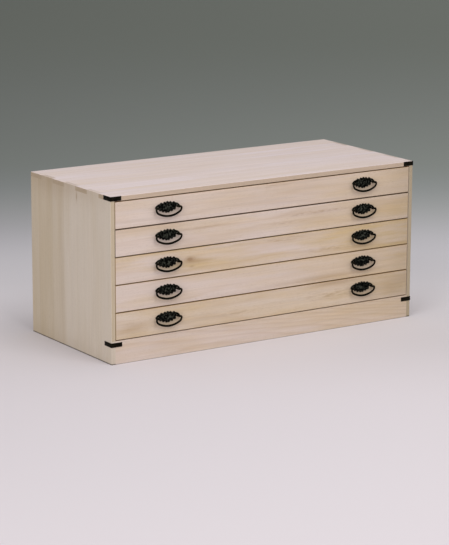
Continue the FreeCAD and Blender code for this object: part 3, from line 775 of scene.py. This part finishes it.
def bow_path():
    """The middle of the bar from the right elbow to the lowest point, as (x, z, lean).

    The belly's arc meets the shoulder's without a corner when its radius is (across squared
    + drop squared - shoulder squared) / (2 x (drop - shoulder)).
    """
    across, drop = BOW_HALF - SHOULDER, BOW_DROP - ELBOW
    radius = (across ** 2 + drop ** 2 - SHOULDER ** 2) / (2 * (drop - SHOULDER))
    meeting = -np.arctan2(radius - drop, across)
    elbow = arc_path((BOW_HALF - ELBOW, -ELBOW), ELBOW, pi / 2, 0, 9)
    shoulder = arc_path((across, -ELBOW), SHOULDER, 0, meeting, 14)[1:]
    belly = arc_path((0, radius - BOW_DROP), radius, meeting, -pi / 2, 20)[1:]
    return np.vstack([elbow, shoulder, belly])


def bail_rings():
    """Rings of the bail round the pivot axis, from the left pin's end to the right one's."""
    pin = np.stack([PIN[:, 0], 0 * PIN[:, 0], 0 * PIN[:, 0] + pi / 2], 1)
    bow = bow_path()
    x, z, lean = np.vstack([pin, bow]).T
    low = np.sin(np.linspace(0, 1, len(bow)) * pi / 2)
    radius = np.concatenate([PIN[:, 1], ROD + SWELL * low ** 2])
    flat = np.concatenate([np.ones(len(pin)), 1 + FLATTENED * low ** 0.7])
    turn = np.linspace(0, 2 * pi, 20, endpoint=False)
    circle = radius[:, None, None] * np.stack([np.cos(turn), np.sin(turn)], 1)
    circle[..., 0] *= flat[:, None]
    centre = np.stack([x, 0 * x, z], 1)
    across = np.stack([np.cos(lean), 0 * x, np.sin(lean)], 1)
    right = carried(centre, across, OUT, circle)
    left = right[:-1] * (-1, 1, 1)
    return np.concatenate([left, right[::-1]])


pivots = {
    joint["child"]: np.array(joint["pos_m"]) * 1000
    for joint in frame["joints"] if joint["type"] == "hinge"
}
bail = skin(bail_rings())
for body, pivot in pivots.items():
    new_piece(body.replace("bail", "drop"), moved(bail, pivot), IRON, body, body)
print("bails:", len(pivots), " points each:", len(bail[0]))

# %% [markdown]
# ## The split posts
#
# A post is a strip of iron folded round the bail's pin.  Its two flat legs go through the
# drawer front together, spread apart behind it and are hammered down.  In front, a small
# turned seat hides the hole.

# %% Make the posts
STANDOFF = 9.0                        # from the pivot axis to the drawer's front
WOOD = 18.0                           # the front's thickness
EYE = 2.34                            # radius to the middle of the eye's wall
EYE_WALL, EYE_WIDTH = 1.32, 4.0
LEG, LEG_WIDTH = 1.45, 3.0
LEG_BEND = 1.1                        # radius of the leg's middle behind the front
SLIT = 0.05                           # half the slit between the legs
EAR_HEIGHT = 1.5                      # the plate's ear, on which the seat stands
# Turned pieces are (radius, height) pairs.
SEAT = [(1.2, 0.02), (3.6, 0.02), (3.75, 0.3), (3.5, 0.75), (2.9, 1.0), (2.5, 1.3),
        (1.9, 1.5), (1.2, 1.5)]


def eye_rings():
    """A flat ring round the pivot axis: an eased section carried once round it."""
    turn = np.linspace(0, 2 * pi, 28, endpoint=False)
    spoke = np.stack([0 * turn, np.cos(turn), np.sin(turn)], 1)
    return carried(spoke * EYE, spoke, SIDEWAYS, eased_rectangle(EYE_WALL, EYE_WIDTH, 0.35))


def leg_rings(side):
    """One leg, from the eye through the wood and bent over behind it, thinner at its tip."""
    back, apart = STANDOFF + WOOD, LEG / 2 + SLIT
    bend = np.linspace(0, pi / 2, 7)
    straight = np.array([[2.2, apart], [STANDOFF, apart]])
    curve = np.stack([back + LEG / 2 - LEG_BEND + LEG_BEND * np.sin(bend),
                      apart + LEG_BEND - LEG_BEND * np.cos(bend)], 1)
    tail = np.array([[back + LEG / 2, 7.0], [back + LEG / 2 - 0.15, 10.0], [back + 0.35, 10.9]])
    way = np.vstack([straight, curve, tail])
    facing = np.concatenate([[0, 0], bend, [pi / 2] * 3])
    thin = np.concatenate([np.ones(len(way) - 2), [0.8, 0.35]])
    path = np.stack([0 * way[:, 0], way[:, 0], side * way[:, 1]], 1)
    across = np.stack([0 * facing, -np.sin(facing), side * np.cos(facing)], 1)
    shares = np.stack([thin, np.ones(len(way))], 1)[:, None]
    return carried(path, across, SIDEWAYS, eased_rectangle(LEG, LEG_WIDTH, 0.3, 3) * shares)


seat = skin(turned(SEAT, 24, OUT, (0, STANDOFF - EAR_HEIGHT, 0)))
post = together([skin(eye_rings(), looped=True), skin(leg_rings(1)), skin(leg_rings(-1)), seat])
for row in DRAWERS:
    places = [pivots[f"drawer_{row}_bail_{hand}"] + (side * POST_X, 0, 0)
              for hand in HANDS for side in (-1, 1)]
    new_piece(f"drawer_{row}_split_posts", together([moved(post, at) for at in places]),
              IRON, f"drawer_{row}", f"drawer_{row}_handle_posts")
print("posts:", 4 * len(DRAWERS))

# %% [markdown]
# ## The pierced plate
#
# Behind each bail lies an ornamental plate.  Its middle is a pointed oval with scallops all
# round, raised in steps like a cloud or a flower.  A thin arch springs over it from post to
# post, and a straight bar joins its points to the posts.
#
# The middle is one grid.  One parameter goes round the plate and the other from its edge to
# its centre.  The outline is the farthest point, in each direction, that the oval or any
# scallop reaches.

# %% Make the plates
OVAL_HALF = 27.0                      # from the oval's middle to its points
OVAL_RISE, OVAL_FALL = 12.8, 11.8     # how far it bulges up and down
# Scallops: (sideways, up, radius).
SCALLOPS = np.array([
    (0.0, 12.4, 4.0), (8.8, 11.6, 3.8), (-8.8, 11.6, 3.8), (19.2, 10.0, 4.0), (-19.2, 10.0, 4.0),
    (3.6, -10.8, 3.8), (-3.6, -10.8, 3.8), (13.4, -8.6, 3.8), (-13.4, -8.6, 3.8),
    (22.4, -5.2, 3.8), (-22.4, -5.2, 3.8), (25.4, 3.6, 3.2), (-25.4, 3.6, 3.2),
])
ARCH_HALF, ARCH_RISE = 36.8, 10.9     # half the arch's span, and its height
ARCH_WIDTH, ARCH_EXTRA = 3.2, 2.0     # its width, and how much more it is at the shoulders
ARCH_THICK = 2.4
ARCH_TIP = 0.04                       # the turn that is left out at each end
BAR_FROM, BAR_TO = 22.0, 31.0
BAR_WIDTH, BAR_WAIST = 3.3, 0.6       # its width, and how much less it is in the middle
BAR_THICK = 1.5
EAR = [(0.5, 0.0), (3.7, 0.0), (3.9, 0.3), (3.9, 1.1), (3.5, EAR_HEIGHT), (0.5, EAR_HEIGHT)]


def reach_of_circle(way, centre, radius):
    """How far along each way from the origin a circle's far side lies, or 0 if it misses."""
    ahead = way @ np.asarray(centre, float)
    inside = ahead ** 2 - np.dot(centre, centre) + radius ** 2
    return np.where(inside > 0, ahead + np.sqrt(np.maximum(inside, 0)), 0)


def oval_reach(way, height, side):
    """How far the arc with that height over the oval's points lies along each way."""
    radius = (OVAL_HALF ** 2 + height ** 2) / (2 * height)
    return reach_of_circle(way, (0.0, side * (height - radius)), radius)


def plate_outline(count=168):
    """The scalloped outline: ways from the centre, and how far it lies along each."""
    turn = np.linspace(0, 2 * pi, count, endpoint=False)
    way = np.stack([np.cos(turn), np.sin(turn)], 1)
    oval = np.minimum(oval_reach(way, OVAL_RISE, 1), oval_reach(way, OVAL_FALL, -1))
    lobes = [reach_of_circle(way, (x, z), radius) for x, z, radius in SCALLOPS]
    reach = np.maximum(oval, np.max(lobes, axis=0))
    return way, reach


# Share of the reach, inset from it in mm, and height of the steps from back to centre.
STEPS = np.array([
    (0.02, 0.0, 0.0), (1.0, 0.1, 0.0), (1.0, 0.0, 0.2), (1.0, 0.0, 1.0), (1.0, 0.15, 1.3),
    (1.0, 0.5, 1.5), (1.0, 1.1, 1.6), (1.0, 1.6, 1.45), (0.96, 2.0, 1.4), (0.80, 1.6, 1.55),
    (0.74, 1.4, 1.9), (0.71, 1.4, 2.5), (0.67, 1.3, 2.8), (0.60, 1.0, 2.85), (0.50, 0.8, 2.7),
    (0.44, 0.6, 2.75), (0.40, 0.5, 3.1), (0.37, 0.4, 3.5), (0.32, 0.3, 3.7), (0.24, 0.2, 3.75),
    (0.20, 0.1, 3.85), (0.16, 0.0, 4.1), (0.10, 0.0, 4.2), (0.02, 0.0, 4.2),
])


def plate_rings():
    """Rings from the back's centre over the edge to the front's centre."""
    way, reach = plate_outline()
    share, inset, height = STEPS.T[:, :, None]
    out = np.maximum(share * reach - inset, 0.01 * reach)
    flat = out[..., None] * way
    return np.stack([flat[..., 0], -np.broadcast_to(height, out.shape), flat[..., 1]], -1)


def strip_outline(width, thickness):
    """Section of the plate's strips: a flat back and a softly domed front."""
    across = np.cos(np.linspace(0, pi, 9)) * width / 2
    dome = thickness * (0.55 + 0.45 * np.sin(np.linspace(0, pi, 9)))
    back = np.array([[-width / 2, 0.0], [width / 2, 0.0]])
    return np.vstack([np.stack([across, dome], 1), back])


def arch_rings():
    """The arch over the plate: a strip carried along the upper half of an oval.

    Its width grows from the middle to the shoulders and shrinks again to the tips.  The
    extra width goes with the square of the sine of twice the turn, times e to the minus
    ((cosine - 0.8) / 0.25) squared.
    """
    turn = np.linspace(ARCH_TIP, pi - ARCH_TIP, 61)
    path = np.stack([ARCH_HALF * np.cos(turn), 0 * turn, ARCH_RISE * np.sin(turn)], 1)
    across = np.stack([ARCH_RISE * np.cos(turn), 0 * turn, ARCH_HALF * np.sin(turn)], 1)
    across /= np.linalg.norm(across, axis=1, keepdims=True)
    shoulder = np.sin(2 * turn) ** 2 * np.exp(-((np.abs(np.cos(turn)) - 0.8) / 0.25) ** 2)
    wide = np.stack([ARCH_WIDTH + ARCH_EXTRA * shoulder, 1 + 0 * turn], 1)[:, None]
    return carried(path, across, OUT, strip_outline(1.0, ARCH_THICK) * wide)


def bar_rings(side):
    """The straight bar from the oval's point to a post, narrow in its middle."""
    run = np.linspace(0, 1, 9)
    out = BAR_FROM + (BAR_TO - BAR_FROM) * run
    path = np.stack([side * out, 0 * run, 0 * run], 1)
    wide = np.stack([BAR_WIDTH - BAR_WAIST * np.sin(pi * run), 0 * run + 1], 1)[:, None]
    return carried(path, UP, OUT, strip_outline(1.0, BAR_THICK) * wide)


ears = [skin(turned(EAR, 24, OUT, (side * POST_X, 0, 0))) for side in (-1, 1)]
strips = [skin(rings) for rings in (arch_rings(), bar_rings(-1), bar_rings(1))]
plate = together([skin(plate_rings())] + strips + ears)
for row in DRAWERS:
    places = [pivots[f"drawer_{row}_bail_{hand}"] + (0, STANDOFF, 0) for hand in HANDS]
    new_piece(f"drawer_{row}_scalloped_plates", together([moved(plate, at) for at in places]),
              PLATE_IRON, f"drawer_{row}", f"drawer_{row}_handle_plates")
print("plates:", 2 * len(DRAWERS), " points each:", len(plate[0]))

# %% [markdown]
# ## Corner straps and their nails
#
# A bent strap guards each front corner of the casing, above and below the drawers.  It is
# thin sheet, so its edges are eased and its ends slightly thinned.  Hand-made nails with
# low domed heads hold it.

# %% Make the straps and nails
STRAP, STRAP_HEIGHT = 1.0, 12.0
STRAP_BEND = 0.55                     # radius of the strap's middle at the corner
STRAP_TIP = (0.6, 0.96)               # shares of the thickness and the height at its ends
FRONT_LEG, SIDE_LEG = 32.0, 35.0
NAILS_FRONT, NAILS_SIDE = (6.0, 25.0), (12.0, 28.0)
NAIL = [(0.7, -6.0), (0.7, 0.0), (1.7, 0.0), (1.75, 0.15), (1.5, 0.42), (1.05, 0.66),
        (0.5, 0.78), (0.1, 0.8)]
corner_low = np.array(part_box("side_board_left")[0]) * 1000
strap_low, strap_high = (np.array(corner) * 1000 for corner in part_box("corner_brackets"))
WOOD_X, WOOD_Y = corner_low[:2]       # where the left side board's front corner stands


def strap_rings():
    """A strip of sheet carried along the side, round the corner and along the front."""
    bend = np.linspace(0, pi / 2, 7)
    x, y = WOOD_X - STRAP / 2, WOOD_Y - STRAP / 2
    side_end, front_end = WOOD_Y + SIDE_LEG, WOOD_X + FRONT_LEG
    curve = np.stack([x + STRAP_BEND - STRAP_BEND * np.cos(bend),
                      y + STRAP_BEND - STRAP_BEND * np.sin(bend)], 1)
    way = np.vstack([[x, side_end], [x, side_end - 0.3], [x, side_end - 20], curve,
                     [front_end - 20, y], [front_end - 0.3, y], [front_end, y]])
    facing = np.concatenate([[0, 0, 0], bend, [pi / 2] * 3])
    path = np.stack([way[:, 0], way[:, 1], 0 * way[:, 0]], 1)
    outward = np.stack([-np.cos(facing), -np.sin(facing), 0 * facing], 1)
    thin = np.ones((len(way), 1, 2))
    thin[[0, -1]] = STRAP_TIP
    return carried(path, outward, UP, eased_rectangle(STRAP, STRAP_HEIGHT, 0.3) * thin)


def nail_parts(height):
    """The nails of one left strap, at the height of its middle."""
    front = [(WOOD_X + run, WOOD_Y - STRAP, height) for run in NAILS_FRONT]
    side = [(WOOD_X - STRAP, WOOD_Y + run, height) for run in NAILS_SIDE]
    return ([skin(turned(NAIL, 14, OUT, at)) for at in front]
            + [skin(turned(NAIL, 14, -SIDEWAYS, at)) for at in side])


def other_hand(part):
    """The same skin mirrored across the chest's middle."""
    points, faces = part
    return points * (-1, 1, 1), faces


levels = [strap_high[2] - STRAP_HEIGHT / 2, strap_low[2] + STRAP_HEIGHT / 2]
straps = [moved(skin(strap_rings()), (0, 0, level)) for level in levels]
nails = [nail for level in levels for nail in nail_parts(level)]
new_piece("corner_straps", together(straps + [other_hand(part) for part in straps]),
          IRON, "casing", "corner_brackets")
new_piece("strap_nails", together(nails + [other_hand(part) for part in nails]),
          IRON, "casing", "bracket_nails")
print("straps:", 2 * len(straps), " nails:", 2 * len(nails))

# %% [markdown]
# ## Floor and light
#
# The chest stands on pale paper whose colour holds painted light: it darkens to a greenish
# grey far behind the chest and grows lighter to the right, with a painted band of the chest's
# soft shadow beside it.  One large soft light hangs high in front, another one fills from the
# left, and a third, weaker one lies overhead.  Large lights give the soft edges that a studio
# has.

# %% Lay the floor
AHEAD, BESIDE = (0.5495, 0.8355, 0.0), (0.8355, -0.5495, 0.0)     # as the camera looks
BEFORE, RUN = 2.0, 10.0               # the ramps start 2 m before the chest, for 10 m
# The paper's colours hold painted light: lightest in front, a painted band of the chest's soft
# shadow beside it, a painted brighter band behind that, and painted falloff to a greenish grey
# far behind.
PAPER_AND_PAINTED_LIGHT = (
    (0.000, (0.715, 0.660, 0.683)), (0.100, (0.720, 0.668, 0.690)),
    (0.140, (0.722, 0.668, 0.690)), (0.182, (0.635, 0.592, 0.604)),
    (0.222, (0.790, 0.745, 0.765)), (0.252, (0.740, 0.706, 0.727)),
    (0.280, (0.698, 0.670, 0.690)), (0.305, (0.645, 0.622, 0.646)),
    (0.335, (0.540, 0.530, 0.538)), (0.370, (0.437, 0.445, 0.435)),
    (0.406, (0.355, 0.374, 0.363)), (0.450, (0.322, 0.344, 0.313)),
    (0.600, (0.325, 0.346, 0.318)), (0.800, (0.312, 0.335, 0.290)),
    (1.000, (0.340, 0.364, 0.316)),
)
# Painted light: how much lighter the paper gets in a metre to the right, by the distance ahead.
# A ramp holds nothing below zero, so these are all TOO_MUCH higher than meant.
PAINTED_SIDE_LIGHT = ((0.16, 0.15), (0.215, 0.03), (0.25, 0.19), (0.33, 0.26), (0.6, 0.195), (0.8, 0.165),
          (1.0, 0.17))
TOO_MUCH = 0.1


def floor_material():
    """Pale paper with painted light: its colour goes by the distance ahead, its lightness also
    by that sideways.

    Colour = paper colour x (1 + distance sideways x (slope - what it is too much)).
    """
    material, tree = new_material("studio_paper")
    shader = tree.nodes["Principled BSDF"]
    place = node(tree, "TexCoord").outputs["Object"]
    ahead, beside = (
        node(tree, "VectorMath", {0: place, 1: way}, operation="DOT_PRODUCT").outputs["Value"]
        for way in (AHEAD, BESIDE)
    )
    reach = maths(tree, "DIVIDE", maths(tree, "ADD", ahead, BEFORE), RUN)
    colour = ramp(tree, reach, PAPER_AND_PAINTED_LIGHT, "B_SPLINE")
    slope = maths(tree, "SUBTRACT", ramp(tree, reach, PAINTED_SIDE_LIGHT), TOO_MUCH)
    lift = maths(tree, "MULTIPLY_ADD", beside, slope, 1.0)
    lift = node(tree, "CombineXYZ", {0: lift, 1: lift, 2: lift}).outputs[0]
    colour = mixed(tree, 1.0, colour, lift, "MULTIPLY")
    tree.links.new(colour, shader.inputs["Base Color"])
    shader.inputs["Roughness"].default_value = 0.9
    shader.inputs["Specular IOR Level"].default_value = 0.1
    return material


floor_mesh = bpy.data.meshes.new("studio_floor")
corners = 25.0 * np.array([[-1, -1, 0], [1, -1, 0], [1, 1, 0], [-1, 1, 0]])
floor_mesh.from_pydata(corners.tolist(), [], [[0, 1, 2, 3]])
floor_mesh.materials.append(floor_material())
floor = bpy.data.objects.new("studio_floor", floor_mesh)
bpy.context.scene.collection.objects.link(floor)
print("floor's stops:", len(PAPER_AND_PAINTED_LIGHT), "colours and", len(PAINTED_SIDE_LIGHT), "slopes")

# %% Hang the lights
CHEST_MIDDLE = Vector((0, 0, 0.25))


def soft_light(name, location, size, watts, colour=(1.0, 1.0, 1.0)):
    """A square area light that looks at the middle of the chest."""
    data = bpy.data.lights.new(name, "AREA")
    data.size = size
    data.energy = watts
    data.color = colour
    light = bpy.data.objects.new(name, data)
    light.location = location
    way = CHEST_MIDDLE - light.location
    light.rotation_euler = way.to_track_quat("-Z", "Y").to_euler()
    bpy.context.scene.collection.objects.link(light)


soft_light("key", (0.2, -3.4, 3.8), 3.0, 82.0, (1.0, 0.985, 0.975))
soft_light("fill", (-4.2, -2.2, 2.9), 3.4, 106.0)
soft_light("overhead", (0.2, -0.6, 4.2), 2.4, 34.0, (0.97, 0.98, 1.0))
world = bpy.data.worlds.new("studio_air")
bpy.context.scene.world = world
world.use_nodes = True
air = world.node_tree.nodes["Background"].inputs
air["Color"].default_value = (0.93, 0.93, 0.96, 1.0)
air["Strength"].default_value = 0.36
bpy.context.scene.view_settings.view_transform = "Standard"
print("lights:", [light.name for light in bpy.data.lights])
